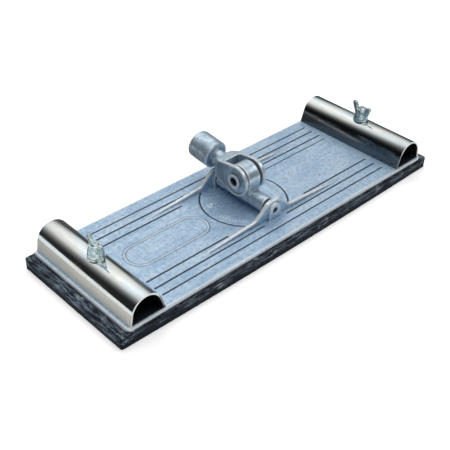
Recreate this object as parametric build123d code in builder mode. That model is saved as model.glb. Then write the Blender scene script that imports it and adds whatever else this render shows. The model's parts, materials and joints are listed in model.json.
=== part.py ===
from build123d import *
from math import cos, radians, sin, tan
import os

# Swivel head of a drywall pole sander. All lengths are in millimetres.
# X runs along the plate, Y across it, Z up. The origin is the centre of the
# rubber pad's bottom face.

os.makedirs("parts", exist_ok=True)

# ---- Driving dimensions ---------------------------------------------------

# Foam rubber pad, a little larger than the plate it is glued to
PAD_LENGTH = 248.0
PAD_WIDTH = 87.0
PAD_THICKNESS = 7.35
PAD_CORNER_RADIUS = 1.5

# Die-cast plate, 9-3/8 by 3-1/4 inches
PLATE_LENGTH = 238.1
PLATE_WIDTH = 82.55
PLATE_THICKNESS = 2.3
PLATE_CORNER_RADIUS = 3.0
PLATE_EDGE_RADIUS = 0.8
PLATE_TOP = PAD_THICKNESS + PLATE_THICKNESS

# Grooves cast into the top of the plate
GROOVE_WIDTH = 1.1
GROOVE_DEPTH = 0.5
GROOVE_END_X = 90.0
OUTER_GROOVE_Y = 32.6
MIDDLE_GROOVE_Y = 26.3
INNER_GROOVE_Y = 19.5
MIDDLE_GROOVE_GAP_X = 9.0
INNER_GROOVE_GAP_X = 31.0
FAINT_GROOVE_Y = 14.4
FAINT_GROOVE_DEPTH = 0.2
RING_RADIUS = 26.2
RING_WIDTH = 1.0

# Plain raised marks on the plate
PANEL_X = -59.0
PANEL_LENGTH = 56.0
PANEL_WIDTH = 19.0
PANEL_LINE = 0.9
MARK_HEIGHT = 0.35
TICK_ARCS = ((188.0, 9), (-45.0, 11))
TICK_STEP = 5.3
TICK_RADIUS = 20.6
TICK_LENGTH = 3.0
TICK_WIDTH = 0.7
EJECTOR_MARK_RADIUS = 1.7
EJECTOR_MARK_X = 18.5
EJECTOR_MARK_Y = 8.7

# Ears and the long ribs that brace them
PIVOT_Z = 15.6
EAR_INNER_Y = 22.0
EAR_THICKNESS = 2.0
EAR_TOP_Z = 21.2
EAR_TOP_HALF = 4.8
EAR_CORNER_RADIUS = 2.0
EAR_FOOT_X = 13.7
EAR_FOOT_Z = 12.9
EAR_FOOT_RADIUS = 6.0
RIB_END_X = 60.0
EAR_BOSS_RADIUS = 4.5
EAR_BOSS_INNER_Y = 20.4
EAR_BOSS_OUTER_Y = 25.6

# Pivot pins
BASE_PIN_RADIUS = 2.0
BASE_PIN_HALF = 24.2
FORK_PIN_RADIUS = 2.75
FORK_PIN_HALF = 7.2
PIN_CLEARANCE = 0.05
PIN_CHAMFER = 0.3

# Swivel knuckle: a barrel along Y below, a drum along X above
BARREL_RADIUS = 4.9
BARREL_HALF = 18.9
BARREL_SEAM_WIDTH = 0.6
BARREL_SEAM_HEIGHT = 0.35
DRUM_RADIUS = 8.7
DRUM_HALF = 4.4
FORK_PIVOT_Z = 26.2
KNUCKLE_BLOCK_HALF = 8.1

# Fork and pole socket, drawn along the socket's axis from the fork pivot
SOCKET_ELEVATION = 6.0
CHEEK_RADIUS = 9.5
CHEEK_INNER_X = 5.9
CHEEK_OUTER_X = 8.1
CHEEK_BOSS_X = 9.3
CHEEK_BOSS_RADIUS = 4.6
CHEEK_POCKET_RADIUS = 8.2
CHEEK_POCKET_DEPTH = 0.9
CROTCH_REACH = 11.5
CROTCH_CORNER_RADIUS = 1.5
NECK_RADIUS = 4.8
NECK_START = 15.5
CHEEK_END_RADIUS = 5.4
SHOULDER_START = 15.0
SOCKET_START = 24.3
SOCKET_END = 40.3
SOCKET_RADIUS = 8.5
SOCKET_EDGE_RADIUS = 1.2
SOCKET_BORE_RADIUS = 6.35
SOCKET_BORE_DEPTH = 14.0
SOCKET_BORE_CHAMFER = 0.7

# Thin spacer washers in the two pivots
SPACER_CLEARANCE = 0.1
BASE_SPACER_RADIUS = 3.6
FORK_SPACER_RADIUS = 7.8

# Sheet steel paper clamps
CLAMP_HALF_WIDTH = 40.4
CLAMP_OUTER_FOOT_X = 116.6
CLAMP_INNER_FOOT_X = 94.0
CLAMP_OUTER_LEAN = 8.5
CLAMP_INNER_LEAN = 18.6
CLAMP_TOP_Z = 24.2
CLAMP_SHEET = 1.0
CLAMP_HOLE_RADIUS = 2.8

# Clamp screws, washers and wing nuts, No. 8-32
SCREW_RADIUS = 2.08
SCREW_HEAD_RADIUS = 4.0
SCREW_TOP_Z = 32.2
SCREW_TIP_CHAMFER = 0.5
WASHER_RADIUS = 4.9
WASHER_THICKNESS = 0.8
WASHER_HOLE_RADIUS = 2.6
NUT_GAP = 0.1
NUT_HUB_BASE_RADIUS = 4.6
NUT_HUB_TOP_RADIUS = 3.4
NUT_HUB_HEIGHT = 6.8
NUT_BORE_RADIUS = 2.13
NUT_SKIRT_HEIGHT = 1.0
WING_THICKNESS = 1.7
WING_ROOT_RADIUS = 2.1
WING_ROOT_REACH = 3.4
WING_ROOT_HEIGHT = 3.4
WING_TIP_REACH = 8.0
WING_TIP_HEIGHT = 8.2
WING_TIP_RADIUS = 1.5
WING_TURN = 10.0


# ---- Values worked out from the dimensions above --------------------------

# The clamp's outline is a circle tangent to its two leaning walls.
outer_slope = tan(radians(CLAMP_OUTER_LEAN))
inner_slope = tan(radians(CLAMP_INNER_LEAN))
outer_secant = 1 / cos(radians(CLAMP_OUTER_LEAN))
inner_secant = 1 / cos(radians(CLAMP_INNER_LEAN))
clamp_height = CLAMP_TOP_Z - PLATE_TOP
clamp_span = CLAMP_OUTER_FOOT_X - CLAMP_INNER_FOOT_X
clamp_radius = (clamp_span - (outer_slope + inner_slope) * clamp_height) / (
    outer_secant + inner_secant - outer_slope - inner_slope
)
clamp_centre_z = CLAMP_TOP_Z - clamp_radius
stud_x = (
    CLAMP_INNER_FOOT_X
    + inner_slope * (clamp_centre_z - PLATE_TOP)
    + inner_secant * clamp_radius
)

washer_z = CLAMP_TOP_Z
nut_z = washer_z + WASHER_THICKNESS + NUT_GAP

# Planes of the fork, which points along +Y and leans up by its elevation
fork_axis = (0, cos(radians(SOCKET_ELEVATION)), sin(radians(SOCKET_ELEVATION)))
fork_up = (0, -sin(radians(SOCKET_ELEVATION)), cos(radians(SOCKET_ELEVATION)))
fork_origin = (0, 0, FORK_PIVOT_Z)
fork_side = Plane(origin=fork_origin, x_dir=fork_axis, z_dir=(1, 0, 0))
fork_flat = Plane(origin=fork_origin, x_dir=(1, 0, 0), z_dir=fork_up)
fork_end = Plane(origin=fork_origin, x_dir=(1, 0, 0), z_dir=fork_axis)


# ---- Rubber pad -----------------------------------------------------------

with BuildPart() as rubber_pad:
    with BuildSketch():
        RectangleRounded(PAD_LENGTH, PAD_WIDTH, PAD_CORNER_RADIUS)
    extrude(amount=PAD_THICKNESS)

rubber_pad.part.label = "rubber_pad"
export_step(rubber_pad.part, "parts/rubber_pad.step")

# ---- Base plate -----------------------------------------------------------

with BuildPart() as base_plate:
    with BuildSketch(Plane.XY.offset(PAD_THICKNESS)):
        RectangleRounded(PLATE_LENGTH, PLATE_WIDTH, PLATE_CORNER_RADIUS)
    extrude(amount=PLATE_THICKNESS)
    fillet(base_plate.faces().sort_by(Axis.Z)[-1].edges(), PLATE_EDGE_RADIUS)

    # Ear and its two ribs, one web on each side of the swivel
    with BuildSketch(Plane.XZ.offset(EAR_INNER_Y)):
        with BuildLine():
            Polyline(
                (-RIB_END_X, PLATE_TOP - MARK_HEIGHT),
                (-RIB_END_X, PLATE_TOP),
                (-EAR_FOOT_X, EAR_FOOT_Z),
                (-EAR_TOP_HALF, EAR_TOP_Z),
                (EAR_TOP_HALF, EAR_TOP_Z),
                (EAR_FOOT_X, EAR_FOOT_Z),
                (RIB_END_X, PLATE_TOP),
                (RIB_END_X, PLATE_TOP - MARK_HEIGHT),
                close=True,
            )
        web_outline = make_face()
        corners = web_outline.vertices().sort_by(Axis.Y)
        fillet(corners[-2:], EAR_CORNER_RADIUS)
        fillet(corners[-4:-2], EAR_FOOT_RADIUS)
    extrude(amount=EAR_THICKNESS)

    # Boss that thickens the ear round the pin, on both of its faces
    with BuildSketch(Plane.XZ.offset(EAR_BOSS_INNER_Y)):
        with Locations((0, PIVOT_Z)):
            Circle(EAR_BOSS_RADIUS)
        with Locations((0, (PIVOT_Z + PLATE_TOP) / 2)):
            Rectangle(2 * EAR_BOSS_RADIUS, PIVOT_Z - PLATE_TOP + MARK_HEIGHT)
    extrude(amount=EAR_BOSS_OUTER_Y - EAR_BOSS_INNER_Y)
    mirror(about=Plane.XZ)

    # Pin hole through both ears
    with BuildSketch(Plane.XZ):
        with Locations((0, PIVOT_Z)):
            Circle(BASE_PIN_RADIUS)
    extrude(amount=PLATE_WIDTH / 2, both=True, mode=Mode.SUBTRACT)

    # Straight grooves: the outer pair runs the whole way, the others stop
    # on each side of the ears.
    with BuildSketch(Plane.XY.offset(PLATE_TOP)):
        with Locations((0, OUTER_GROOVE_Y), (0, -OUTER_GROOVE_Y)):
            SlotOverall(2 * GROOVE_END_X, GROOVE_WIDTH)
        for groove_y, gap_x in (
            (MIDDLE_GROOVE_Y, MIDDLE_GROOVE_GAP_X),
            (INNER_GROOVE_Y, INNER_GROOVE_GAP_X),
        ):
            with GridLocations(GROOVE_END_X + gap_x, 2 * groove_y, 2, 2):
                SlotOverall(GROOVE_END_X - gap_x, GROOVE_WIDTH)
    extrude(amount=-GROOVE_DEPTH, mode=Mode.SUBTRACT)

    # One shallow line beside the right-hand grooves
    with BuildSketch(Plane.XY.offset(PLATE_TOP)):
        with Locations(((GROOVE_END_X + INNER_GROOVE_GAP_X) / 2, FAINT_GROOVE_Y)):
            SlotOverall(GROOVE_END_X - INNER_GROOVE_GAP_X, GROOVE_WIDTH)
    extrude(amount=-FAINT_GROOVE_DEPTH, mode=Mode.SUBTRACT)

    # Ring groove round the swivel, broken where it would pass under the ears
    with BuildSketch(Plane.XY.offset(PLATE_TOP)):
        Circle(RING_RADIUS + RING_WIDTH / 2)
        Circle(RING_RADIUS - RING_WIDTH / 2, mode=Mode.SUBTRACT)
        with Locations((0, EAR_INNER_Y + RING_RADIUS), (0, -EAR_INNER_Y - RING_RADIUS)):
            Rectangle(3 * RING_RADIUS, 2 * RING_RADIUS, mode=Mode.SUBTRACT)
    extrude(amount=-GROOVE_DEPTH, mode=Mode.SUBTRACT)

    # Raised marks: an empty stadium outline, two arcs of ticks and two
    # ejector-pin circles
    with BuildSketch(Plane.XY.offset(PLATE_TOP)):
        with Locations((PANEL_X, 0)):
            SlotOverall(PANEL_LENGTH, PANEL_WIDTH)
            SlotOverall(
                PANEL_LENGTH - 2 * PANEL_LINE,
                PANEL_WIDTH - 2 * PANEL_LINE,
                mode=Mode.SUBTRACT,
            )
        for first_angle, tick_count in TICK_ARCS:
            arc_angle = tick_count * TICK_STEP
            with PolarLocations(TICK_RADIUS, tick_count, first_angle, arc_angle):
                Rectangle(TICK_LENGTH, TICK_WIDTH)
        with Locations((EJECTOR_MARK_X, EJECTOR_MARK_Y), (-EJECTOR_MARK_X, EJECTOR_MARK_Y)):
            Circle(EJECTOR_MARK_RADIUS)
            Circle(EJECTOR_MARK_RADIUS - MARK_HEIGHT, mode=Mode.SUBTRACT)
    extrude(amount=MARK_HEIGHT)

    # Countersunk holes for the clamp screws, opening downwards
    with Locations(
        Plane(origin=(stud_x, 0, PAD_THICKNESS), z_dir=(0, 0, -1)),
        Plane(origin=(-stud_x, 0, PAD_THICKNESS), z_dir=(0, 0, -1)),
    ):
        CounterSinkHole(SCREW_RADIUS, SCREW_HEAD_RADIUS, counter_sink_angle=90)

base_plate.part.label = "base_plate"
export_step(base_plate.part, "parts/base_plate.step")

# ---- Base pivot pin and its spacer washers --------------------------------

pin_plane = Plane(origin=(0, 0, PIVOT_Z), x_dir=(1, 0, 0), z_dir=(0, -1, 0))

with BuildPart() as base_pivot_pin:
    with BuildSketch(pin_plane):
        Circle(BASE_PIN_RADIUS)
    extrude(amount=BASE_PIN_HALF, both=True)
    chamfer(base_pivot_pin.edges().filter_by(GeomType.CIRCLE), PIN_CHAMFER)

base_pivot_pin.part.label = "base_pivot_pin"
export_step(base_pivot_pin.part, "parts/base_pivot_pin.step")

base_spacer_thickness = EAR_BOSS_INNER_Y - BARREL_HALF - 2 * SPACER_CLEARANCE
for spacer_name, spacer_start in (
    ("near_pivot_washer", BARREL_HALF + SPACER_CLEARANCE),
    ("far_pivot_washer", SPACER_CLEARANCE - EAR_BOSS_INNER_Y),
):
    with BuildPart() as pivot_washer:
        with BuildSketch(pin_plane.offset(spacer_start)):
            Circle(BASE_SPACER_RADIUS)
            Circle(BASE_PIN_RADIUS + PIN_CLEARANCE, mode=Mode.SUBTRACT)
        extrude(amount=base_spacer_thickness)

    pivot_washer.part.label = spacer_name
    export_step(pivot_washer.part, f"parts/{spacer_name}.step")

# ---- Swivel knuckle -------------------------------------------------------

with BuildPart() as swivel_knuckle:
    # Lower barrel, turned by the base pivot pin
    with BuildSketch(pin_plane):
        Circle(BARREL_RADIUS)
    extrude(amount=BARREL_HALF, both=True)
    chamfer(swivel_knuckle.edges().filter_by(GeomType.CIRCLE), PIN_CHAMFER)

    # Upper drum and the block that joins it to the barrel
    with BuildSketch(Plane.YZ):
        with Locations((0, FORK_PIVOT_Z)):
            Circle(DRUM_RADIUS)
        with Locations((0, (PIVOT_Z + FORK_PIVOT_Z) / 2)):
            Rectangle(2 * KNUCKLE_BLOCK_HALF, FORK_PIVOT_Z - PIVOT_Z)
    extrude(amount=DRUM_HALF, both=True)

    # Parting seam along each side of the barrel
    seam_length = 2 * (BARREL_RADIUS + BARREL_SEAM_HEIGHT)
    with BuildSketch(pin_plane):
        Rectangle(seam_length, BARREL_SEAM_WIDTH)
    extrude(amount=BARREL_HALF - BARREL_SEAM_WIDTH, both=True)

    # Bores for the two pins
    with BuildSketch(pin_plane):
        Circle(BASE_PIN_RADIUS + PIN_CLEARANCE)
    extrude(amount=BARREL_HALF, both=True, mode=Mode.SUBTRACT)
    with BuildSketch(Plane.YZ):
        with Locations((0, FORK_PIVOT_Z)):
            Circle(FORK_PIN_RADIUS + PIN_CLEARANCE)
    extrude(amount=DRUM_HALF, both=True, mode=Mode.SUBTRACT)

swivel_knuckle.part.label = "swivel_knuckle"
export_step(swivel_knuckle.part, "parts/swivel_knuckle.step")

# ---- Fork and pole socket, one casting ------------------------------------

with BuildPart() as fork_socket:
    # Side view: the cheeks taper from a disc to the neck
    with BuildSketch(fork_side):
        Circle(CHEEK_RADIUS)
        with Locations((NECK_START, 0)):
            Circle(CHEEK_END_RADIUS)
        make_hull()
    extrude(amount=CHEEK_OUTER_X, both=True)

    # Top view: the shoulders of the fork close in on the neck
    with BuildSketch(fork_flat):
        with BuildLine():
            Polyline(
                (-CHEEK_OUTER_X, -CHEEK_RADIUS),
                (-CHEEK_OUTER_X, SHOULDER_START),
                (-NECK_RADIUS, NECK_START + NECK_RADIUS),
                (NECK_RADIUS, NECK_START + NECK_RADIUS),
                (CHEEK_OUTER_X, SHOULDER_START),
                (CHEEK_OUTER_X, -CHEEK_RADIUS),
                close=True,
            )
        make_face()
    extrude(amount=CHEEK_RADIUS, both=True, mode=Mode.INTERSECT)

    # Slot between the cheeks
    with BuildSketch(fork_flat):
        with Locations((0, (CROTCH_REACH - 2 * CHEEK_RADIUS) / 2)):
            RectangleRounded(
                2 * CHEEK_INNER_X, CROTCH_REACH + 2 * CHEEK_RADIUS, CROTCH_CORNER_RADIUS
            )
    extrude(amount=CHEEK_RADIUS, both=True, mode=Mode.SUBTRACT)

    # Raised boss and shallow pocket on the outside of each cheek
    for side in (-1, 1):
        outward = Plane(
            origin=(side * CHEEK_OUTER_X, 0, FORK_PIVOT_Z),
            x_dir=fork_axis,
            z_dir=(side, 0, 0),
        )
        with BuildSketch(outward):
            Circle(CHEEK_POCKET_RADIUS)
            Circle(CHEEK_BOSS_RADIUS, mode=Mode.SUBTRACT)
        extrude(amount=-CHEEK_POCKET_DEPTH, mode=Mode.SUBTRACT)
        with BuildSketch(outward):
            Circle(CHEEK_BOSS_RADIUS)
        extrude(amount=CHEEK_BOSS_X - CHEEK_OUTER_X)

    # Neck and socket
    with BuildSketch(fork_end.offset(NECK_START - 1)):
        Circle(NECK_RADIUS)
    extrude(amount=SOCKET_START - NECK_START + 2)
    with BuildSketch(fork_end.offset(SOCKET_START)):
        Circle(SOCKET_RADIUS)
    extrude(amount=SOCKET_END - SOCKET_START)
    rims = fork_socket.edges().filter_by(GeomType.CIRCLE)
    rims = rims.filter_by(lambda edge: abs(edge.radius - SOCKET_RADIUS) < 0.01)
    fillet(rims, SOCKET_EDGE_RADIUS)

    # Blind threaded bore, drawn as a plain hole at the thread's outer diameter
    with BuildSketch(fork_end.offset(SOCKET_END)):
        Circle(SOCKET_BORE_RADIUS)
    extrude(amount=-SOCKET_BORE_DEPTH, mode=Mode.SUBTRACT)
    with BuildSketch(fork_end.offset(SOCKET_END - SOCKET_BORE_CHAMFER)) as mouth_inner:
        Circle(SOCKET_BORE_RADIUS)
    with BuildSketch(fork_end.offset(SOCKET_END)) as mouth_outer:
        Circle(SOCKET_BORE_RADIUS + SOCKET_BORE_CHAMFER)
    loft(mode=Mode.SUBTRACT)

    # Hole for the fork pin
    with BuildSketch(fork_side):
        Circle(FORK_PIN_RADIUS)
    extrude(amount=CHEEK_BOSS_X, both=True, mode=Mode.SUBTRACT)

fork_socket.part.label = "fork_socket"
export_step(fork_socket.part, "parts/fork_socket.step")

# ---- Fork pivot pin and its spacer washers --------------------------------

with BuildPart() as fork_pivot_pin:
    with BuildSketch(fork_side):
        Circle(FORK_PIN_RADIUS)
    extrude(amount=FORK_PIN_HALF, both=True)
    chamfer(fork_pivot_pin.edges().filter_by(GeomType.CIRCLE), PIN_CHAMFER)

fork_pivot_pin.part.label = "fork_pivot_pin"
export_step(fork_pivot_pin.part, "parts/fork_pivot_pin.step")

fork_spacer_thickness = CHEEK_INNER_X - DRUM_HALF - 2 * SPACER_CLEARANCE
for spacer_name, spacer_start in (
    ("left_fork_washer", SPACER_CLEARANCE - CHEEK_INNER_X),
    ("right_fork_washer", DRUM_HALF + SPACER_CLEARANCE),
):
    with BuildPart() as fork_washer:
        with BuildSketch(fork_side.offset(spacer_start)):
            Circle(FORK_SPACER_RADIUS)
            Circle(FORK_PIN_RADIUS + PIN_CLEARANCE, mode=Mode.SUBTRACT)
        extrude(amount=fork_spacer_thickness)

    fork_washer.part.label = spacer_name
    export_step(fork_washer.part, f"parts/{spacer_name}.step")

# ---- Paper clamps and their fasteners, one set at each end ----------------


def clamp_arch(side, inset):
    """The area under the clamp's outline, drawn in by the inset."""
    radius = clamp_radius - inset
    outer_angle = radians(CLAMP_OUTER_LEAN)
    inner_angle = radians(CLAMP_INNER_LEAN)
    outer_foot = (side * (CLAMP_OUTER_FOOT_X - inset * outer_secant), PLATE_TOP)
    inner_foot = (side * (CLAMP_INNER_FOOT_X + inset * inner_secant), PLATE_TOP)
    outer_shoulder = (
        side * (stud_x + radius * cos(outer_angle)),
        clamp_centre_z + radius * sin(outer_angle),
    )
    inner_shoulder = (
        side * (stud_x - radius * cos(inner_angle)),
        clamp_centre_z + radius * sin(inner_angle),
    )
    with BuildSketch(Plane.XZ) as arch:
        with BuildLine():
            Line(inner_foot, outer_foot)
            Line(outer_foot, outer_shoulder)
            ThreePointArc(
                outer_shoulder,
                (side * stud_x, clamp_centre_z + radius),
                inner_shoulder,
            )
            Line(inner_shoulder, inner_foot)
        make_face()
    return arch.sketch


for side_name, side in (("left", -1), ("right", 1)):
    with BuildPart() as clamp:
        extrude(clamp_arch(side, 0), amount=CLAMP_HALF_WIDTH, both=True)
        hollow = clamp_arch(side, CLAMP_SHEET)
        extrude(hollow, amount=CLAMP_HALF_WIDTH, both=True, mode=Mode.SUBTRACT)
        with Locations((side * stud_x, 0, CLAMP_TOP_Z)):
            Hole(CLAMP_HOLE_RADIUS)

    clamp.part.label = f"{side_name}_clamp"
    export_step(clamp.part, f"parts/{side_name}_clamp.step")

    # Planes and axis of this end's screw
    stud_plane = Plane(origin=(side * stud_x, 0, 0), x_dir=(1, 0, 0), z_dir=(0, -1, 0))
    stud_axis = Axis((side * stud_x, 0, 0), (0, 0, 1))

    # Flat-head screw, its head flush with the plate's underside
    with BuildPart() as clamp_screw:
        head_height = SCREW_HEAD_RADIUS - SCREW_RADIUS
        with BuildSketch(stud_plane):
            with BuildLine():
                Polyline(
                    (0, PAD_THICKNESS),
                    (SCREW_HEAD_RADIUS, PAD_THICKNESS),
                    (SCREW_RADIUS, PAD_THICKNESS + head_height),
                    (SCREW_RADIUS, SCREW_TOP_Z - SCREW_TIP_CHAMFER),
                    (SCREW_RADIUS - SCREW_TIP_CHAMFER, SCREW_TOP_Z),
                    (0, SCREW_TOP_Z),
                    close=True,
                )
            make_face()
        revolve(axis=stud_axis)

    clamp_screw.part.label = f"{side_name}_clamp_screw"
    export_step(clamp_screw.part, f"parts/{side_name}_clamp_screw.step")

    with BuildPart() as clamp_washer:
        with BuildSketch(Plane.XY.offset(washer_z)):
            with Locations((side * stud_x, 0)):
                Circle(WASHER_RADIUS)
                Circle(WASHER_HOLE_RADIUS, mode=Mode.SUBTRACT)
        extrude(amount=WASHER_THICKNESS)

    clamp_washer.part.label = f"{side_name}_clamp_washer"
    export_step(clamp_washer.part, f"parts/{side_name}_clamp_washer.step")

    # Wing nut: a tapered hub with a short skirt, and two wings
    turn = radians(WING_TURN)
    with BuildPart() as wing_nut:
        with BuildSketch(stud_plane):
            with BuildLine():
                Polyline(
                    (0, nut_z),
                    (NUT_HUB_BASE_RADIUS, nut_z),
                    (NUT_HUB_BASE_RADIUS, nut_z + NUT_SKIRT_HEIGHT),
                    (NUT_HUB_TOP_RADIUS, nut_z + NUT_HUB_HEIGHT),
                    (0, nut_z + NUT_HUB_HEIGHT),
                    close=True,
                )
            make_face()
        revolve(axis=stud_axis)
        for wing_side in (-1, 1):
            wing_plane = Plane(
                origin=(side * stud_x, 0, nut_z),
                x_dir=(wing_side * sin(turn), wing_side * cos(turn), 0),
                z_dir=(wing_side * cos(turn), -wing_side * sin(turn), 0),
            )
            with BuildSketch(wing_plane):
                with Locations((WING_ROOT_REACH, WING_ROOT_HEIGHT)):
                    Circle(WING_ROOT_RADIUS)
                tip_reach = WING_TIP_REACH - WING_TIP_RADIUS
                with Locations((tip_reach, WING_TIP_HEIGHT)):
                    Circle(WING_TIP_RADIUS)
                make_hull()
            extrude(amount=WING_THICKNESS / 2, both=True)
        with Locations((side * stud_x, 0, nut_z + NUT_HUB_HEIGHT)):
            Hole(NUT_BORE_RADIUS)

    wing_nut.part.label = f"{side_name}_wing_nut"
    export_step(wing_nut.part, f"parts/{side_name}_wing_nut.step")
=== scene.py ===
import json
import math

import bmesh
import bpy
from mathutils import Matrix, Vector, noise


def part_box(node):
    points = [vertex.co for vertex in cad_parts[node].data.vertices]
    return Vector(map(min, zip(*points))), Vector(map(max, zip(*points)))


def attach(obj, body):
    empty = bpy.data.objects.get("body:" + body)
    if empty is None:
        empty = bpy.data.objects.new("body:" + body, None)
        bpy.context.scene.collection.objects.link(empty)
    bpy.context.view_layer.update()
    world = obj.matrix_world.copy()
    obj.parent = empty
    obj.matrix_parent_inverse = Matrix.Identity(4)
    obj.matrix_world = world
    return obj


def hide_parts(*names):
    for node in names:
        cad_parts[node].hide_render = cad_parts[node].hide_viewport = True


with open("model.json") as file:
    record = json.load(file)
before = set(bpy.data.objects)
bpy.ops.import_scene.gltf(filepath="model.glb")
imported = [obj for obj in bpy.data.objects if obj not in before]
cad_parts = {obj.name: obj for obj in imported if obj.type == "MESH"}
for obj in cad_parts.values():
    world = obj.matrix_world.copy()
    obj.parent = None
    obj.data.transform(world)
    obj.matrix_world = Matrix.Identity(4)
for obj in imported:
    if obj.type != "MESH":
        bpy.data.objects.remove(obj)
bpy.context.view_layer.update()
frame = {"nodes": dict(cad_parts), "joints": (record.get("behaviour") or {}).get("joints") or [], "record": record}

# Swivel head of a drywall pole sander. Everything is in metres, in the part's
# own frame: X along the plate, Y across it, Z up, origin under the rubber pad.

MM = 0.001

# ---- Places read from the frame -------------------------------------------

pad_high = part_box("rubber_pad")[1]
plate_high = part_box("base_plate")[1]
clamp_low, clamp_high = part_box("right_clamp")
screw_low, screw_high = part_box("right_clamp_screw")
joints = {joint["name"]: joint for joint in frame["joints"]}
mounts = {mount["name"]: mount for mount in frame["record"]["mounts"]}
body_of_node = {
    node: body for body, nodes in frame["record"]["behaviour"]["bodies"].items() for node in nodes
}
slot_of_node = {part["node"]: part["material_slot"] for part in frame["record"]["subparts"]}

plate_top = clamp_low.z
fork_pivot = Vector(joints["fork_swing"]["pos_m"])
socket = mounts["pole_socket"]
socket_middle = Vector(socket["pos_m"])
socket_axis = (socket_middle - fork_pivot).normalized()
socket_mouth = socket_middle + socket_axis * socket["dims"]["length_mm"] / 2 * MM
socket_radius = socket["dims"]["r_mm"] * MM
stud_x = (screw_low.x + screw_high.x) / 2


# ---- Shader helpers -------------------------------------------------------


class Nodes:
    """A node tree that is filled one node at a time."""

    def __init__(self, tree):
        self.tree = tree
        self.tree.nodes.clear()

    def feed(self, socket, value):
        """Gives an input another node's output, or else a plain value."""
        if isinstance(value, bpy.types.NodeSocket):
            self.tree.links.new(value, socket)
        else:
            socket.default_value = value

    def add(self, kind, properties=None, **inputs):
        """Adds one node; an input is a value or another node's output."""
        made = self.tree.nodes.new(kind)
        for name, value in (properties or {}).items():
            setattr(made, name, value)
        for name, value in inputs.items():
            self.feed(made.inputs[name.replace("_", " ")], value)
        return made

    def math(self, operation, first, second=0.0):
        """A value worked out from one or two others."""
        made = self.add("ShaderNodeMath", {"operation": operation})
        self.feed(made.inputs[0], first)
        self.feed(made.inputs[1], second)
        return made.outputs["Value"]

    def choose(self, factor, first, second):
        """The first of two shaders where the factor is 0, the second where it is 1."""
        made = self.add("ShaderNodeMixShader")
        for socket, value in zip(made.inputs, (factor, first, second)):
            self.feed(socket, value)
        return made.outputs["Shader"]


class Shader(Nodes):
    """A material whose nodes are added one by one; coordinates are the part's own, in millimetres."""

    def __init__(self, name, **settings):
        self.material = bpy.data.materials.new(name)
        self.material.use_nodes = True
        super().__init__(self.material.node_tree)
        self.surface = self.add("ShaderNodeBsdfPrincipled", **settings)
        self.output = self.add("ShaderNodeOutputMaterial", Surface=self.surface.outputs["BSDF"])
        place = self.add("ShaderNodeTexCoord")
        self.place = self.add(
            "ShaderNodeMapping", Vector=place.outputs["Object"], Scale=(1000, 1000, 1000)
        ).outputs["Vector"]

    def stretched(self, scale):
        """The part's millimetres, scaled by a different amount along each axis."""
        return self.add("ShaderNodeMapping", Vector=self.place, Scale=scale).outputs["Vector"]

    def noise(self, size, detail=3.0, roughness=0.55, place=None):
        """Smooth noise from 0 to 1, whose blobs are about size millimetres."""
        made = self.add(
            "ShaderNodeTexNoise",
            Vector=place or self.place,
            Scale=1.0 / size,
            Detail=detail,
            Roughness=roughness,
        )
        return made.outputs["Fac"]

    def cells(self, size):
        """Distance to the nearest of scattered points about size millimetres apart."""
        made = self.add("ShaderNodeTexVoronoi", Vector=self.place, Scale=1.0 / size)
        return made.outputs["Distance"]

    def ramp(self, value, low, high, to_low=0.0, to_high=1.0):
        """Maps low..high of a value to to_low..to_high, smoothly, and holds it outside."""
        made = self.add(
            "ShaderNodeMapRange",
            {"interpolation_type": "SMOOTHSTEP"},
            Value=value,
            From_Min=low,
            From_Max=high,
            To_Min=to_low,
            To_Max=to_high,
        )
        return made.outputs["Result"]

    def until(self, value, low, high):
        """1 while a value is under low, 0 once it is over high."""
        return self.ramp(value, low, high, 1.0, 0.0)

    def product(self, *values):
        """Several values multiplied together."""
        result = values[0]
        for value in values[1:]:
            result = self.math("MULTIPLY", result, value)
        return result

    def squared_length(self, first, second):
        """The squared length of a vector, from its two coordinates."""
        return self.math("ADD", self.product(first, first), self.product(second, second))

    def mix(self, factor, first, second):
        """A colour between two colours; each is an RGB tuple or another node's output."""
        made = self.add("ShaderNodeMix", {"data_type": "RGBA"})
        for index, value in ((0, factor), (6, first), (7, second)):
            self.feed(made.inputs[index], (*value, 1.0) if isinstance(value, tuple) else value)
        return made.outputs[2]

    def paint(self, under, colour, where, strength):
        """A colour laid over another one, where a mask is 1, as strongly as the strength says."""
        return self.mix(self.product(where, strength), under, colour)

    def along(self, axis):
        """The place along X, Y or Z, in millimetres."""
        return self.add("ShaderNodeSeparateXYZ", Vector=self.place).outputs[axis]

    def away(self, axis):
        """The distance from the part's middle along X, Y or Z, in millimetres."""
        return self.math("ABSOLUTE", self.along(axis))

    def nearby(self, reach, inside):
        """How open the solid is within reach millimetres: outside it, or inside its own skin."""
        made = self.add(
            "ShaderNodeAmbientOcclusion",
            {"inside": inside, "only_local": True, "samples": 8},
            Distance=reach * MM,
        )
        return made.outputs["AO"]

    def edges(self, reach):
        """1 on the piece's outward edges, 0 on its flats."""
        return self.until(self.nearby(reach, True), 0.70, 0.97)

    def hollows(self, reach, open_from=0.85):
        """1 in the piece's corners and holes, 0 on its flats."""
        return self.until(self.nearby(reach, False), 0.30, open_from)

    def bump(self, height, depth, under=None):
        """Bump of the given depth in millimetres, laid over an earlier bump if there is one."""
        made = self.add("ShaderNodeBump", Height=height, Distance=depth * MM, Strength=1.0)
        if under is not None:
            self.feed(made.inputs["Normal"], under)
        return made.outputs["Normal"]

    def finish(self, colour, roughness, normal=None, metallic=None):
        """The material, once what was worked out is linked to its surface."""
        sockets = {
            "Base Color": colour,
            "Roughness": roughness,
            "Normal": normal,
            "Metallic": metallic,
        }
        for name, value in sockets.items():
            if value is not None:
                self.feed(self.surface.inputs[name], value)
        return self.material


# ---- Materials: places and depths are in millimetres ----------------------

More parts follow.
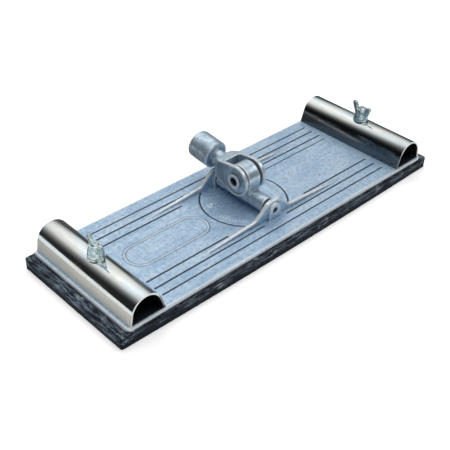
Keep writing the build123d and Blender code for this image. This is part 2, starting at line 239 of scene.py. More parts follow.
# The raised outline on the plate, a stadium whose length runs along X
PANEL_X = -59.0
PANEL_HALF_WIDTH = 9.5
PANEL_HALF_STRAIGHT = 18.5
PANEL_LINE = 0.9

# Where the grime and painted shade in the grooves fade out, from the plate's middle, and their depth under the top
GROOVES_END_X = (91.5, 93.0)
GROOVES_END_Y = (34.0, 36.0)
GROOVE_SHADE_AND_GRIME_DEPTH = (0.16, 0.05)

# How far the painted shade under a clamp stays inside the clamp's own outline
CLAMP_SHADE_MARGIN = 1.0
CLAMP_SHADE_FADE_Y = 0.8

# Painted shade at the foot of raised steps and beside the panel's raised line
STEP_SHADE = (0.08, 0.13, 0.20)


def panel_line_distance(shader):
    """Distance from the middle of the panel outline's raised line."""
    lengthwise = shader.math("ABSOLUTE", shader.math("SUBTRACT", shader.along("X"), PANEL_X))
    past_straight = shader.math("SUBTRACT", lengthwise, PANEL_HALF_STRAIGHT)
    past_straight = shader.math("MAXIMUM", past_straight, 0.0)
    from_spine = shader.math("SQRT", shader.squared_length(past_straight, shader.along("Y")))
    from_line = shader.math("SUBTRACT", from_spine, PANEL_HALF_WIDTH - PANEL_LINE / 2)
    return shader.math("ABSOLUTE", from_line)


def groove_floor(shader):
    """1 down in the plate's grooves, 0 elsewhere."""
    full_depth, no_depth = GROOVE_SHADE_AND_GRIME_DEPTH
    top = plate_top / MM
    return shader.product(
        shader.until(shader.along("Z"), top - full_depth, top - no_depth),
        shader.until(shader.away("Y"), *GROOVES_END_Y),
        shader.until(shader.away("X"), *GROOVES_END_X),
    )


def under_clamp_shade(shader):
    """Where the painted shade under the clamps goes: 1 on the plate below them, 0 elsewhere."""
    inner = clamp_low.x / MM + CLAMP_SHADE_MARGIN
    outer = clamp_high.x / MM - CLAMP_SHADE_MARGIN
    end = clamp_high.y / MM
    return shader.product(
        shader.ramp(shader.away("X"), inner, inner + CLAMP_SHADE_MARGIN),
        shader.until(shader.away("X"), outer - CLAMP_SHADE_MARGIN, outer),
        shader.until(shader.away("Y"), end - CLAMP_SHADE_FADE_Y, end),
    )


def cast_plate_material():
    """Tumbled die-cast alloy: fine grain, cloudy flow marks, grime and painted shade in the grooves, painted
    highlights on the edges (partly wear), painted shade in hollows, beside raised steps and under the clamps.
    """
    shader = Shader("cast_plate_alloy", Metallic=0.55, Specular_IOR_Level=0.6)
    clouds = shader.ramp(shader.noise(24.0, 4.0), 0.3, 0.7)
    flow = shader.ramp(shader.noise(4.0, 5.0, place=shader.stretched((0.2, 1.0, 1.0))), 0.35, 0.75)
    mottle = shader.ramp(shader.noise(2.4, 5.0, 0.75), 0.42, 0.66)
    pits = shader.ramp(shader.noise(1.0, 3.0, 0.7), 0.60, 0.70)
    step_shade = shader.until(shader.nearby(1.2, False), 0.60, 0.95)
    from_line = panel_line_distance(shader)
    half_line = PANEL_LINE / 2
    crest = shader.until(from_line, half_line - 0.15, half_line + 0.05)
    beside_line_shade = shader.product(
        shader.ramp(from_line, half_line - 0.05, half_line + 0.10),
        shader.until(from_line, half_line + 0.40, half_line + 1.15),
    )
    colour = shader.mix(clouds, (0.40, 0.59, 0.80), (0.53, 0.71, 0.90))
    colour = shader.paint(colour, (0.74, 0.89, 1.0), flow, 0.6)
    colour = shader.paint(colour, (0.24, 0.37, 0.54), mottle, 0.6)
    colour = shader.paint(colour, (0.12, 0.19, 0.30), pits, 0.6)
    # Painted highlight on the plate's edges and rib tops, partly also wear
    colour = shader.paint(colour, (0.96, 0.99, 1.0), shader.edges(1.9), 0.95)
    # Painted shade in the plate's corners and hollows
    colour = shader.paint(colour, (0.05, 0.08, 0.12), shader.hollows(2.5), 0.75)
    # Painted shade at the foot of raised steps, and beside the panel's raised line
    colour = shader.paint(colour, STEP_SHADE, step_shade, 0.8)
    colour = shader.paint(colour, STEP_SHADE, beside_line_shade, 0.45)
    # Painted highlight on the top of the panel's raised line
    colour = shader.paint(colour, (0.86, 0.94, 1.0), crest, 0.35)
    # Grime and painted shade down in the grooves
    colour = shader.paint(colour, (0.022, 0.042, 0.075), groove_floor(shader), 0.95)
    # Painted shade on the plate under the clamps
    colour = shader.paint(colour, (0.010, 0.013, 0.017), under_clamp_shade(shader), 0.93)
    grain = shader.math("ADD", shader.noise(0.8, 3.0), shader.noise(0.3, 1.0))
    normal = shader.bump(grain, 0.06)
    normal = shader.bump(shader.noise(2.2, 4.0, 0.65), 0.25, normal)
    normal = shader.bump(shader.noise(11.0, 2.0), 0.30, normal)
    roughness = shader.ramp(mottle, 0.0, 1.0, 0.33, 0.46)
    return shader.finish(colour, roughness, normal)


# Painted shade on the fork's cheeks: where it starts, where the neck ends it, and the pin's boss, which stays
# unshaded
CHEEK_START_X = (7.2, 8.2)
CHEEK_END_Y = (19.0, 22.0)
CHEEK_BOSS_RADIUS = 4.4
CHEEK_BOSS_FADE = 0.5


def from_fork_pivot(shader):
    """The distances behind and above the fork's pivot."""
    behind = shader.math("SUBTRACT", shader.along("Y"), fork_pivot.y / MM)
    above = shader.math("SUBTRACT", shader.along("Z"), fork_pivot.z / MM)
    return behind, above


def shaded_cheek(shader):
    """1 on the outsides of the fork's cheeks, 0 on the pin's boss and everywhere else."""
    from_pin = shader.squared_length(*from_fork_pivot(shader))
    boss_end = CHEEK_BOSS_RADIUS + CHEEK_BOSS_FADE
    return shader.product(
        shader.ramp(shader.away("X"), *CHEEK_START_X),
        shader.until(shader.along("Y"), *CHEEK_END_Y),
        shader.ramp(from_pin, CHEEK_BOSS_RADIUS**2, boss_end**2),
    )


def swivel_material():
    """Brighter, smoother casting, with painted shade on the cheeks, painted highlights on the edges (partly wear)
    and painted shade in the hollows.
    """
    shader = Shader("swivel_alloy", Metallic=0.6, Specular_IOR_Level=0.6)
    clouds = shader.ramp(shader.noise(6.0, 4.0), 0.3, 0.7)
    mottle = shader.ramp(shader.noise(3.5, 3.0), 0.38, 0.66)
    colour = shader.mix(clouds, (0.56, 0.72, 0.85), (0.72, 0.86, 0.96))
    colour = shader.paint(colour, (0.20, 0.31, 0.44), mottle, 0.45)
    # Painted shade on the outsides of the fork's cheeks
    colour = shader.paint(colour, (0.07, 0.11, 0.17), shaded_cheek(shader), 0.62)
    # Painted highlight on the edges, partly also wear
    colour = shader.mix(shader.edges(1.25), colour, (0.94, 0.98, 1.0))
    # Painted shade in the hollows
    colour = shader.paint(colour, (0.03, 0.05, 0.08), shader.hollows(6.0, 0.95), 0.92)
    normal = shader.bump(shader.noise(3.0, 2.0), 0.10)
    roughness = shader.ramp(mottle, 0.0, 1.0, 0.28, 0.38)
    return shader.finish(colour, roughness, normal)


# A clamp's walls, from the stud's middle: the satin outer one below the bend, and the inner one, darkened as a
# painted dark reflection
CLAMP_BEND_FADE_Z = (16.1, 17.4)
OUTER_WALL_START = (6.0, 8.0)
INNER_WALL_END = (-9.0, -7.0)


def clamp_material():
    """Nickel-chromed rolled sheet: faint polishing lines, a slight ripple, a satin outer wall, a painted dark
    reflection on the inner wall.
    """
    shader = Shader("chromed_sheet", Metallic=1.0)
    lines = shader.noise(0.35, 2.0, place=shader.stretched((1.0, 0.02, 1.0)))
    ripple = shader.noise(16.0, 1.0, place=shader.stretched((1.0, 0.3, 1.0)))
    haze = shader.ramp(shader.noise(3.0, 5.0, place=shader.stretched((1.0, 0.3, 1.0))), 0.35, 0.75)
    speck = shader.ramp(shader.noise(0.7, 3.0, 0.7), 0.62, 0.74)
    tint = shader.ramp(shader.noise(9.0, 3.0, place=shader.stretched((1.0, 0.35, 1.0))), 0.38, 0.62)
    from_stud = shader.math("SUBTRACT", shader.away("X"), stud_x / MM)
    below_bend = shader.until(shader.along("Z"), *CLAMP_BEND_FADE_Z)
    outer_wall = shader.product(below_bend, shader.ramp(from_stud, *OUTER_WALL_START))
    inner_wall_dark_reflection = shader.until(from_stud, *INNER_WALL_END)
    colour = shader.mix(tint, (0.70, 0.79, 0.83), (0.80, 0.81, 0.77))
    colour = shader.paint(colour, (0.60, 0.61, 0.60), haze, 0.5)
    colour = shader.paint(colour, (0.33, 0.33, 0.32), speck, 0.35)
    # Painted dark reflection on the clamp's inner wall
    colour = shader.paint(colour, (0.13, 0.155, 0.18), inner_wall_dark_reflection, 0.9)
    colour = shader.mix(outer_wall, colour, (0.84, 0.83, 0.76))
    normal = shader.bump(lines, 0.006)
    normal = shader.bump(ripple, 0.06, normal)
    polish = shader.ramp(haze, 0.0, 1.0, 0.10, 0.17)
    satin = shader.product(outer_wall, 0.48)
    roughness = shader.math("MAXIMUM", polish, satin)
    metallic = shader.ramp(outer_wall, 0.0, 1.0, 1.0, 0.35)
    return shader.finish(colour, roughness, normal, metallic)


def clamp_inside_shade_material():
    """The inside of the sheet, near black as painted shade, with blotchy variation."""
    shader = Shader("sheet_inside_shade", Metallic=0.0, Specular_IOR_Level=0.02)
    inside_blotches = shader.ramp(shader.noise(4.0, 5.0, place=shader.stretched((1.0, 0.4, 1.0))), 0.3, 0.75)
    # Painted shade: the sheet's inside is near black
    colour = shader.mix(inside_blotches, (0.004, 0.005, 0.007), (0.016, 0.018, 0.022))
    normal = shader.bump(shader.noise(0.8, 3.0), 0.04)
    roughness = shader.ramp(inside_blotches, 0.0, 1.0, 0.72, 0.55)
    return shader.finish(colour, roughness, normal)


def zinc_material():
    """Bright zinc plating with a cyan cast, slightly pitted, with painted highlights on its edges and painted
    shade in its hollows.
    """
    shader = Shader("zinc_plate", Metallic=1.0)
    tint = shader.ramp(shader.noise(2.2, 3.0), 0.35, 0.65)
    colour = shader.mix(tint, (0.30, 0.47, 0.50), (0.74, 0.84, 0.84))
    # Painted highlight on the edges
    colour = shader.paint(colour, (0.88, 0.92, 0.92), shader.edges(0.5), 0.7)
    # Painted shade in the hollows
    colour = shader.paint(colour, (0.04, 0.07, 0.08), shader.hollows(1.5), 0.85)
    normal = shader.bump(shader.noise(0.5, 3.0), 0.04)
    normal = shader.bump(shader.noise(1.9, 2.0), 0.22, normal)
    roughness = shader.ramp(shader.noise(1.2, 3.0), 0.3, 0.7, 0.14, 0.27)
    return shader.finish(colour, roughness, normal)


def pin_material():
    """Oiled, blackened steel."""
    shader = Shader("blackened_steel", Metallic=0.9)
    worn = shader.ramp(shader.noise(1.2, 4.0), 0.5, 0.75)
    colour = shader.mix(worn, (0.020, 0.022, 0.025), (0.10, 0.105, 0.11))
    normal = shader.bump(shader.noise(0.3, 2.0), 0.02)
    roughness = shader.ramp(worn, 0.0, 1.0, 0.5, 0.35)
    return shader.finish(colour, roughness, normal)


def shaded_washer_material():
    """Steel darkened to near black as painted shade, where the pivots' spacers sit in their gaps."""
    shader = Shader("shaded_gap_steel", Metallic=0.8)
    blotches = shader.ramp(shader.noise(1.6, 4.0), 0.40, 0.70)
    # Painted shade: the spacers are near black, with blotchy variation
    colour = shader.mix(blotches, (0.015, 0.018, 0.022), (0.07, 0.08, 0.09))
    normal = shader.bump(shader.noise(0.4, 3.0), 0.03)
    roughness = shader.ramp(blotches, 0.0, 1.0, 0.55, 0.38)
    return shader.finish(colour, roughness, normal)


# Where the painted shade in the socket's thread roots starts and where it is full, in from the bore's wall
ROOT_SHADE_START = 0.75
ROOT_SHADE_FULL = 0.35


def thread_material():
    """The socket's tapped thread: bright crests, painted shade in the roots."""
    shader = Shader("tapped_alloy", Metallic=0.8)
    behind, above = from_fork_pivot(shader)
    upward = shader.math(
        "SUBTRACT", shader.product(above, socket_axis.y), shader.product(behind, socket_axis.z)
    )
    radius = shader.math("SQRT", shader.squared_length(shader.along("X"), upward))
    wall = socket_radius / MM
    root_shade = shader.ramp(radius, wall - ROOT_SHADE_START, wall - ROOT_SHADE_FULL)
    blotches = shader.ramp(shader.noise(1.8, 4.0), 0.35, 0.70)
    colour = shader.mix(blotches, (0.42, 0.46, 0.50), (0.26, 0.29, 0.32))
    # Painted shade down in the thread's roots
    colour = shader.mix(root_shade, colour, (0.012, 0.014, 0.017))
    roughness = shader.ramp(blotches, 0.0, 1.0, 0.30, 0.50)
    return shader.finish(colour, roughness)


# How finely the pad's streaks are drawn out along a side, and how finely across it
STREAK_LENGTHWISE = 0.13
STREAK_ACROSS = 0.9


def drawn_streaks(shader, at_end):
    """Streaks that run along each of the pad's sides, lengthwise or, at its ends, crosswise."""
    along, across = STREAK_LENGTHWISE, STREAK_ACROSS
    lengthwise = shader.noise(1.3, 6.0, 0.72, shader.stretched((along, across, across)))
    crosswise = shader.noise(1.3, 6.0, 0.72, shader.stretched((across, along, across)))
    at_side = shader.math("SUBTRACT", 1.0, at_end)
    drawn = shader.math(
        "ADD", shader.product(lengthwise, at_side), shader.product(crosswise, at_end)
    )
    return shader.ramp(drawn, 0.45, 0.58)


def rubber_material():
    """Closed-cell foam rubber: near-black, pitted, its rim and upper sides scuffed pale with dust."""
    shader = Shader("foam_rubber", Metallic=0.0, Specular_IOR_Level=0.06)
    plate_end = plate_high.x / MM
    pad_top = pad_high.z / MM
    pores = shader.ramp(shader.cells(0.8), 0.15, 0.55)
    at_end = shader.ramp(shader.away("X"), plate_end - 0.5, plate_end + 0.5)
    streak = drawn_streaks(shader, at_end)
    dust = shader.ramp(shader.noise(11.0, 3.0), 0.34, 0.60, 0.40, 1.0)
    fleck = shader.ramp(shader.noise(0.8, 4.0, 0.75), 0.55, 0.70)
    smear = shader.ramp(shader.noise(7.0, 5.0, 0.6), 0.56, 0.64)
    handled = shader.ramp(shader.along("Z"), 0.30 * pad_top, 0.62 * pad_top, 0.06, 1.0)
    more_at_end = shader.ramp(at_end, 0.0, 1.0, 0.55, 1.0)
    dusty = shader.product(streak, dust, handled, more_at_end)
    flecked = shader.product(fleck, handled)
    smeared = shader.product(smear, streak, handled)
    colour = shader.mix(pores, (0.004, 0.006, 0.010), (0.012, 0.017, 0.026))
    colour = shader.paint(colour, (0.24, 0.31, 0.39), dusty, 0.9)
    colour = shader.paint(colour, (0.28, 0.34, 0.40), flecked, 0.55)
    colour = shader.paint(colour, (0.42, 0.47, 0.50), smeared, 0.75)
    normal = shader.bump(pores, 0.16)
    normal = shader.bump(shader.noise(2.0, 4.0, 0.6), 0.35, normal)
    roughness = shader.ramp(dusty, 0.0, 0.8, 0.65, 0.9)
    return shader.finish(colour, roughness, normal)


MATERIALS = {
    "cast_alloy": cast_plate_material(),
    "swivel_alloy": swivel_material(),
    "clamp_chrome": clamp_material(),
    "plated_steel": zinc_material(),
    "pin_steel": pin_material(),
    "foam_rubber": rubber_material(),
}
CLAMP_INSIDE_SHADE = clamp_inside_shade_material()
SHADED_WASHER = shaded_washer_material()
THREAD = thread_material()
SPACERS = ("near_pivot_washer", "far_pivot_washer", "left_fork_washer", "right_fork_washer")

for node_name, node in frame["nodes"].items():
    node.data.materials.clear()
    finish = SHADED_WASHER if node_name in SPACERS else MATERIALS[slot_of_node[node_name]]
    node.data.materials.append(finish)


# ---- Mesh helpers ---------------------------------------------------------

WELD = 0.001 * MM


def mesh_of(bm, name):
    """Turns a bmesh into a mesh with outward normals."""
    bmesh.ops.recalc_face_normals(bm, faces=bm.faces)
    mesh = bpy.data.meshes.new(name)
    bm.to_mesh(mesh)
    bm.free()
    return mesh


def welded(node_name):
    """A CAD node's mesh as one closed skin, its split corners joined."""
    bm = bmesh.new()
    bm.from_mesh(frame["nodes"][node_name].data)
    bmesh.ops.remove_doubles(bm, verts=bm.verts, dist=WELD)
    return mesh_of(bm, node_name + "_skin")


def placed(name, data):
    """A new object in the scene, showing a mesh, a light or a camera."""
    made = bpy.data.objects.new(name, data)
    bpy.context.scene.collection.objects.link(made)
    return made


def modified(mesh, steps):
    """The mesh after each (kind, settings) modifier in turn."""
    holder = placed("work", mesh)
    for kind, settings in steps:
        modifier = holder.modifiers.new(kind.lower(), kind)
        for name, value in settings.items():
            setattr(modifier, name, value)
    graph = bpy.context.evaluated_depsgraph_get()
    result = bpy.data.meshes.new_from_object(holder.evaluated_get(graph))
    bpy.data.objects.remove(holder)
    bpy.data.meshes.remove(mesh)
    return result


def stitched(bm, first, second, closed=True):
    """Joins two rows of vertices with quads, round a full turn if closed."""
    count = len(first)
    made = []
    for index in range(count if closed else count - 1):
        after = (index + 1) % count
        made.append(bm.faces.new((first[index], first[after], second[after], second[index])))
    return made


def skinned(bm, rows):
    """Joins each closed row of vertices to the next, and closes the first and the last."""
    for lower, upper in zip(rows, rows[1:]):
        stitched(bm, lower, upper)
    bm.faces.new(rows[0])
    bm.faces.new(rows[-1])


def smooth_shaded(mesh, sharp_from):
    """Shades a mesh smooth, except on edges sharper than an angle in degrees."""
    mesh.shade_smooth()
    mesh.set_sharp_from_angle(angle=math.radians(sharp_from))


def stands_for(name, mesh, node_name):
    """Shows a mesh in place of a CAD node, on that node's body and material slot."""
    slot = slot_of_node[node_name]
    if not mesh.materials:
        mesh.materials.append(MATERIALS[slot])
    piece = placed(name, mesh)
    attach(piece, body_of_node[node_name])
    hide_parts(node_name)
    return piece


# ---- Castings: the CAD shape with a casting's soft corners ----------------


def soft_casting(name, node_name, voxel, rounds, keep=1.0):
    """The node's shape rebuilt from voxels, its corners worn round, then thinned out."""
    steps = [
        ("REMESH", {"mode": "VOXEL", "voxel_size": voxel * MM}),
        ("SMOOTH", {"factor": 0.5, "iterations": rounds}),
    ]
    if keep < 1.0:
        steps.append(("DECIMATE", {"ratio": keep}))
    mesh = modified(welded(node_name), steps)
    mesh.shade_smooth()
    return stands_for(name, mesh, node_name)


soft_casting("cast_plate", "base_plate", 0.40, 2, 0.35)
soft_casting("cast_knuckle", "swivel_knuckle", 0.25, 9)
soft_casting("cast_fork", "fork_socket", 0.25, 8)
for side_name in ("left", "right"):
    soft_casting(f"{side_name}_nut_casting", f"{side_name}_wing_nut", 0.14, 6)


# ---- Foam pad -------------------------------------------------------------

PAD_CORNER_RADIUS = 1.5 * MM
PAD_EDGE_RADIUS = 0.5 * MM
PAD_STEP = 0.55 * MM
PAD_CORNER_STEPS = 10
PAD_ROUGHNESS = 0.35 * MM
PAD_RIM = 9.0 * MM
PAD_WAIST = 1.2 * MM
PAD_EDGE_ANGLES = (0, 30, 60, 90)

# The foam's surface: how often it swells and tears, and how much each takes off it
FOAM_SWELL, FOAM_SWELL_SHARE = 0.35, 0.45
FOAM_TEAR, FOAM_TEAR_SHARE = 1.1, 1.1
FOAM_TEAR_FROM = 0.15
FOAM_TOP_SHARE = 0.6


def pad_outline():
    """Points round the pad with their outward directions, one step apart."""
    half = (pad_high.x - PAD_CORNER_RADIUS, pad_high.y - PAD_CORNER_RADIUS)
    points = []
    for quarter in range(4):
        start = math.radians(90 * quarter)
        sign_x = 1 if quarter in (0, 3) else -1
        sign_y = 1 if quarter in (0, 1) else -1
        centre = Vector((sign_x * half[0], sign_y * half[1], 0))
        for step in range(PAD_CORNER_STEPS + 1):
            angle = start + math.radians(90) * step / PAD_CORNER_STEPS
            outward = Vector((math.cos(angle), math.sin(angle), 0))
            points.append((centre + PAD_CORNER_RADIUS * outward, outward))
        length = 2 * half[0] if quarter % 2 == 0 else 2 * half[1]
        count = int(length / PAD_STEP)
        corner, outward = points[-1]
        run = Vector((-outward.y, outward.x, 0)) * length / count
        for step in range(1, count):
            points.append((corner + run * step, outward))
    return points


def pad_profile():
    """How far in, and how high, each row round the pad lies, from its bottom to its top."""
    height = pad_high.z
    lower = [(PAD_RIM, 0.0), (PAD_RIM / 3, 0.0)]
    for angle in map(math.radians, PAD_EDGE_ANGLES):
        inset = PAD_EDGE_RADIUS * (1 - math.sin(angle))
        lower.append((inset, PAD_EDGE_RADIUS * (1 - math.cos(angle))))
    straight = height - 2 * PAD_EDGE_RADIUS
    count = int(height / PAD_STEP)
    side = [(0.0, PAD_EDGE_RADIUS + straight * row / count) for row in range(1, count)]
    upper = [(inset, height - level) for inset, level in reversed(lower)]
    return lower + side + upper


def foam_bite(place):
    """How much of the foam is missing at a place on its surface."""
    swell = 0.5 + 0.5 * noise.noise(place / MM * FOAM_SWELL)
    torn = max(0.0, noise.noise(place / MM * FOAM_TEAR) - FOAM_TEAR_FROM)
    return PAD_ROUGHNESS * (FOAM_SWELL_SHARE * swell + FOAM_TEAR_SHARE * torn)


def foam_pad():
    """A slab cut from sheet foam: long sides a little bowed, torn cells on them, a worn rim."""
    bm = bmesh.new()
    rows = []
    outline = pad_outline()
    for inset, level in pad_profile():
        row = []
        inward = Vector((1 - inset / pad_high.x, 1 - inset / pad_high.y))
        for point, outward in outline:
            place = Vector((point.x * inward.x, point.y * inward.y, level))
            bite = foam_bite(place)
            place.y *= 1 - PAD_WAIST / pad_high.y * (place.x / pad_high.x) ** 2
            if inset < PAD_EDGE_RADIUS:
                place -= outward * bite
            if level > pad_high.z - PAD_EDGE_RADIUS:
                place.z -= FOAM_TOP_SHARE * bite
            row.append(bm.verts.new(place))
        rows.append(row)
    skinned(bm, rows)
    mesh = mesh_of(bm, "foam_pad")
    smooth_shaded(mesh, 50)
    return stands_for("foam_pad", mesh, "rubber_pad")


foam_pad()


# ---- Rolled sheet clamps --------------------------------------------------

CLAMP_OUTER_LEAN = math.radians(8.5)
CLAMP_INNER_LEAN = math.radians(18.6)
CLAMP_SHEET = 1.0 * MM
CLAMP_HOLE_RADIUS = 2.8 * MM
CLAMP_EDGE_RADIUS = 0.22 * MM
CLAMP_ARC_STEPS = 80


def clamp_outline(inset):
    """The clamp's outline from its outer foot over the top to its inner foot, drawn in by the inset."""
    slopes = math.tan(CLAMP_OUTER_LEAN) + math.tan(CLAMP_INNER_LEAN)
    secants = 1 / math.cos(CLAMP_OUTER_LEAN) + 1 / math.cos(CLAMP_INNER_LEAN)
    height = clamp_high.z - clamp_low.z
    full_radius = (clamp_high.x - clamp_low.x - slopes * height) / (secants - slopes)
    centre_z = clamp_high.z - full_radius
    radius = full_radius - inset
    points = [(clamp_high.x - inset / math.cos(CLAMP_OUTER_LEAN), clamp_low.z)]
    turn = math.pi - CLAMP_OUTER_LEAN - CLAMP_INNER_LEAN
    for step in range(CLAMP_ARC_STEPS + 1):
        angle = CLAMP_OUTER_LEAN + turn * step / CLAMP_ARC_STEPS
        points.append((stud_x + radius * math.cos(angle), centre_z + radius * math.sin(angle)))
    points.append((clamp_low.x + inset / math.cos(CLAMP_INNER_LEAN), clamp_low.z))
    return points


def hole_cutter(place, radius, reach):
    """An upright round bar that a hole is cut with."""
    bm = bmesh.new()
    bmesh.ops.create_cone(
        bm, cap_ends=True, segments=48, radius1=radius, radius2=radius, depth=reach
    )
    bmesh.ops.translate(bm, verts=bm.verts, vec=place)
    return placed("cutter", mesh_of(bm, "cutter"))


def rolled_clamp(side_name, side):
    """Sheet rolled over a bar, polished outside and near black inside as painted shade, with its screw hole."""
    bm = bmesh.new()
    loops = []
    for y in (clamp_low.y, clamp_high.y):
        outer = [bm.verts.new((side * x, y, z)) for x, z in clamp_outline(0.0)]
        inner = [bm.verts.new((side * x, y, z)) for x, z in clamp_outline(CLAMP_SHEET)]
        loops.append((outer, inner))
    (near_outer, near_inner), (far_outer, far_inner) = loops
    stitched(bm, near_outer, far_outer, closed=False)
    for face in stitched(bm, near_inner, far_inner, closed=False):
        face.material_index = 1
    stitched(bm, near_outer, near_inner, closed=False)
    stitched(bm, far_outer, far_inner, closed=False)
    for end in (0, -1):
        bm.faces.new((near_outer[end], far_outer[end], far_inner[end], near_inner[end]))
    mesh = mesh_of(bm, f"{side_name}_rolled_clamp")
    cutter = hole_cutter((side * stud_x, 0, clamp_high.z), CLAMP_HOLE_RADIUS, 6 * CLAMP_SHEET)
    hole = {"operation": "DIFFERENCE", "solver": "EXACT", "object": cutter}
    bevel = {
        "width": CLAMP_EDGE_RADIUS,
        "segments": 3,
        "limit_method": "ANGLE",
        "angle_limit": math.radians(50),
    }
    mesh.materials.append(MATERIALS["clamp_chrome"])
    mesh.materials.append(CLAMP_INSIDE_SHADE)
    mesh = modified(mesh, [("BOOLEAN", hole), ("BEVEL", bevel)])
    bpy.data.objects.remove(cutter)
    smooth_shaded(mesh, 40)
    stands_for(f"{side_name}_rolled_clamp", mesh, f"{side_name}_clamp")


for side_name, side in (("left", -1), ("right", 1)):
    rolled_clamp(side_name, side)


# ---- Threads --------------------------------------------------------------

SCREW_RADIUS = 2.08 * MM
SCREW_HEAD_RADIUS = 4.0 * MM
SCREW_PITCH = 25.4 / 32 * MM
SCREW_THREAD_DEPTH = 0.43 * MM
SCREW_FLANK_STEEPNESS = 1.15
SCREW_TIP_CHAMFER = 0.5 * MM
SCREW_ROUND = 40
SCREW_ROWS_PER_TURN = 8

SOCKET_PITCH = 25.4 / 13 * MM
SOCKET_THREAD_DEPTH = 0.85 * MM
SOCKET_THREAD_LENGTH = 11.2 * MM
SOCKET_THREAD_START = 0.9 * MM
SOCKET_ROUND = 56

# How far the socket's ridge sinks into the bore's wall, and its half widths in shares of the pitch
SOCKET_WALL_OVERLAP = 0.05 * MM
SOCKET_HALF_ROOT = 0.42
SOCKET_HALF_CREST = 0.10


def screw_reach(level, share):
    """The threaded stretch's radius at a height, a share of a turn round from X."""
    phase = ((level - plate_top) / SCREW_PITCH - share) % 1.0
    groove = min(1.0, SCREW_FLANK_STEEPNESS * abs(2 * phase - 1))
    chamfer = SCREW_RADIUS - SCREW_TIP_CHAMFER + screw_high.z - level
    return min(SCREW_RADIUS - SCREW_THREAD_DEPTH * groove, chamfer)


def threaded_screw(side_name, side):
    """Flat-head machine screw, threaded from the plate's top to its chamfered tip."""
    neck = screw_low.z + SCREW_HEAD_RADIUS - SCREW_RADIUS
    length = screw_high.z - plate_top
    count = int(length / SCREW_PITCH * SCREW_ROWS_PER_TURN)
    rows = [(screw_low.z, SCREW_HEAD_RADIUS), (neck, SCREW_RADIUS), (plate_top, SCREW_RADIUS)]
    rows += [(plate_top + length * row / count, None) for row in range(1, count + 1)]
    bm = bmesh.new()
    loops = []
    for level, plain_radius in rows:
        loop = []
        for index in range(SCREW_ROUND):
            share = index / SCREW_ROUND
            reach = plain_radius or screw_reach(level, share)
            angle = 2 * math.pi * share
            place = (side * stud_x + reach * math.cos(angle), reach * math.sin(angle), level)
            loop.append(bm.verts.new(place))
        loops.append(loop)
    skinned(bm, loops)
    mesh = mesh_of(bm, f"{side_name}_threaded_screw")
    smooth_shaded(mesh, 40)
    stands_for(f"{side_name}_threaded_screw", mesh, f"{side_name}_clamp_screw")


def socket_thread():
    """The coarse internal thread that a pole screws into, one ridge wound down the bore."""
    across = Vector((1, 0, 0))
    upward = across.cross(socket_axis)
    start = socket_mouth - SOCKET_THREAD_START * socket_axis
    count = int(SOCKET_THREAD_LENGTH / SOCKET_PITCH * SOCKET_ROUND)
    wall = socket_radius + SOCKET_WALL_OVERLAP
    bm = bmesh.new()
    loops = []
    for index in range(count + 1):
        angle = 2 * math.pi * index / SOCKET_ROUND
        outward = math.cos(angle) * across + math.sin(angle) * upward
        centre = start - socket_axis * SOCKET_PITCH * index / SOCKET_ROUND
        fade = min(1.0, index / SOCKET_ROUND, (count - index) / SOCKET_ROUND)
        crest = wall - SOCKET_THREAD_DEPTH * fade
        section = (
            (wall, SOCKET_HALF_ROOT),
            (crest, SOCKET_HALF_CREST),
            (crest, -SOCKET_HALF_CREST),
            (wall, -SOCKET_HALF_ROOT),
        )
        loop = []
        for reach, shift in section:
            place = centre + outward * reach + socket_axis * SOCKET_PITCH * shift
            loop.append(bm.verts.new(place))
        loops.append(loop)
    skinned(bm, loops)
    mesh = mesh_of(bm, "socket_thread")
    mesh.materials.append(THREAD)
    smooth_shaded(mesh, 30)
    piece = placed("socket_thread", mesh)
    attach(piece, "fork")


for side_name, side in (("left", -1), ("right", 1)):
    threaded_screw(side_name, side)
socket_thread()


# ---- Studio ---------------------------------------------------------------

WHITE = (1.0, 1.0, 1.0, 1.0)

FLOOR_SIZE = 0.9
FLOOR_GLOW = 0.45

# Where the mirrored floor turns dim behind the part and right of its left end, in millimetres
MIRROR_EDGE_Y = 15.0
MIRROR_EDGE_X = -125.0
MIRROR_FADE = 25.0
MIRROR_LIT = 0.95
MIRROR_DIM = 0.10


def plain_floor():
    """White paper; polished metal mirrors it as a lit strip before and beside a dim room."""
    bpy.ops.mesh.primitive_plane_add(size=FLOOR_SIZE, location=(0, 0, 0))
    floor = bpy.context.object
    floor.name = "floor"
    paper = Shader(
        "floor_paper",
        Base_Color=(0.90, 0.90, 0.90, 1.0),
        Roughness=0.9,
        Emission_Color=WHITE,
        Emission_Strength=FLOOR_GLOW,
    )
    behind = paper.ramp(paper.along("Y"), MIRROR_EDGE_Y, MIRROR_EDGE_Y + MIRROR_FADE)
    beside = paper.ramp(paper.along("X"), MIRROR_EDGE_X - MIRROR_FADE, MIRROR_EDGE_X)
    brightness = paper.ramp(paper.product(behind, beside), 0.0, 1.0, MIRROR_LIT, MIRROR_DIM)
    mirrored = paper.add("ShaderNodeEmission", Color=WHITE, Strength=brightness)
    in_mirror = paper.add("ShaderNodeLightPath").outputs["Is Glossy Ray"]
    shown = paper.choose(in_mirror, paper.surface.outputs["BSDF"], mirrored.outputs["Emission"])
    paper.feed(paper.output.inputs["Surface"], shown)
    floor.data.materials.append(paper.material)


def softbox(name, toward, distance, size, power, mirrored=True):
    """A square area light at a distance from the part, which shows in reflections if mirrored."""
    light = bpy.data.lights.new(name, "AREA")
    light.size = size
    light.energy = power
    holder = placed(name, light)
    direction = Vector(toward).normalized()
    holder.location = direction * distance
    holder.rotation_euler = (-direction).to_track_quat("-Z", "Y").to_euler()
    holder.visible_glossy = mirrored


# Brightness of the sky against the cosine of the angle from the centre of its bright patch
SKY_CENTRE = Vector((0.22, 0.57, 0.79)).normalized()
SKY_BEHIND = Vector((-0.22, -0.57, 0.79)).normalized()
SKY = (
    (0.50, 0.02),
    (0.64, 0.09),
    (0.72, 0.20),
    (0.79, 0.36),
    (0.85, 0.62),
    (0.90, 0.88),
    (0.97, 1.05),
    (1.00, 1.25),
)


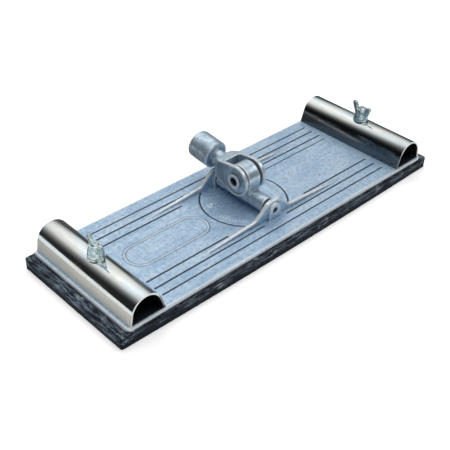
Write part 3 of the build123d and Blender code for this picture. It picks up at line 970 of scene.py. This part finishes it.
def studio_world():
    """A wide bright patch of sky in a dim room, white where the camera sees it directly.

    Polished metal also mirrors a second patch, over the camera's side, so it isn't black from behind.
    """
    world = bpy.data.worlds.new("studio")
    world.use_nodes = True
    bpy.context.scene.world = world
    sky = Nodes(world.node_tree)
    direction = sky.add("ShaderNodeTexCoord").outputs["Generated"]
    path = sky.add("ShaderNodeLightPath")
    nearness = []
    for centre in (SKY_CENTRE, SKY_BEHIND):
        cosine = sky.add("ShaderNodeVectorMath", {"operation": "DOT_PRODUCT"})
        sky.feed(cosine.inputs[0], direction)
        sky.feed(cosine.inputs[1], centre)
        nearness.append(cosine.outputs["Value"])
    second = sky.math("MULTIPLY", nearness[1], path.outputs["Is Glossy Ray"])
    ramp = sky.add("ShaderNodeValToRGB", Fac=sky.math("MAXIMUM", nearness[0], second))
    stops = ramp.color_ramp.elements
    stops.remove(stops[1])
    stops[0].position, darkest = SKY[0]
    stops[0].color = (darkest, darkest, darkest, 1.0)
    for position, brightness in SKY[1:]:
        stops.new(position).color = (brightness, brightness, brightness, 1.0)
    room = sky.add("ShaderNodeBackground", Color=ramp.outputs["Color"])
    backdrop = sky.add("ShaderNodeBackground", Color=WHITE)
    shown = sky.choose(
        path.outputs["Is Camera Ray"], room.outputs["Background"], backdrop.outputs["Background"]
    )
    sky.add("ShaderNodeOutputWorld", Surface=shown)


# The photograph's viewpoint: one pinhole camera fitted to the plate, the pad and the clamps
CAMERA_PLACE = Vector((-287.15, -278.67, 290.63)) * MM
CAMERA_YAW = math.radians(45.67)
CAMERA_PITCH = math.radians(-36.89)
CAMERA_ROLL = math.radians(1.45)
CAMERA_LENS = 66.2
CAMERA_SENSOR = 36.0
CAMERA_NEAR = 0.01


def studio_camera():
    """The camera at the photograph's viewing angle, turned by its yaw, pitch and roll."""
    forward = Vector(
        (
            math.cos(CAMERA_PITCH) * math.cos(CAMERA_YAW),
            math.cos(CAMERA_PITCH) * math.sin(CAMERA_YAW),
            math.sin(CAMERA_PITCH),
        )
    )
    level = Vector((math.sin(CAMERA_YAW), -math.cos(CAMERA_YAW), 0))
    upright = level.cross(forward)
    right = math.cos(CAMERA_ROLL) * level + math.sin(CAMERA_ROLL) * upright
    up = math.cos(CAMERA_ROLL) * upright - math.sin(CAMERA_ROLL) * level
    turned = Matrix((right, up, -forward)).transposed().to_4x4()
    camera = placed("camera", bpy.data.cameras.new("camera"))
    camera.data.lens = CAMERA_LENS
    camera.data.sensor_width = CAMERA_SENSOR
    camera.data.clip_start = CAMERA_NEAR
    camera.matrix_world = Matrix.Translation(CAMERA_PLACE) @ turned
    bpy.context.scene.camera = camera


bpy.context.scene.view_settings.view_transform = "Standard"
plain_floor()
studio_world()
softbox("key", SKY_CENTRE, 1.0, 0.2, 0.5, mirrored=False)
softbox("overhead", (0, 0, 1), 1.2, 1.2, 8.0, mirrored=False)
softbox("front_right", (0.57, -0.35, 0.74), 1.2, 0.45, 1.4)
studio_camera()
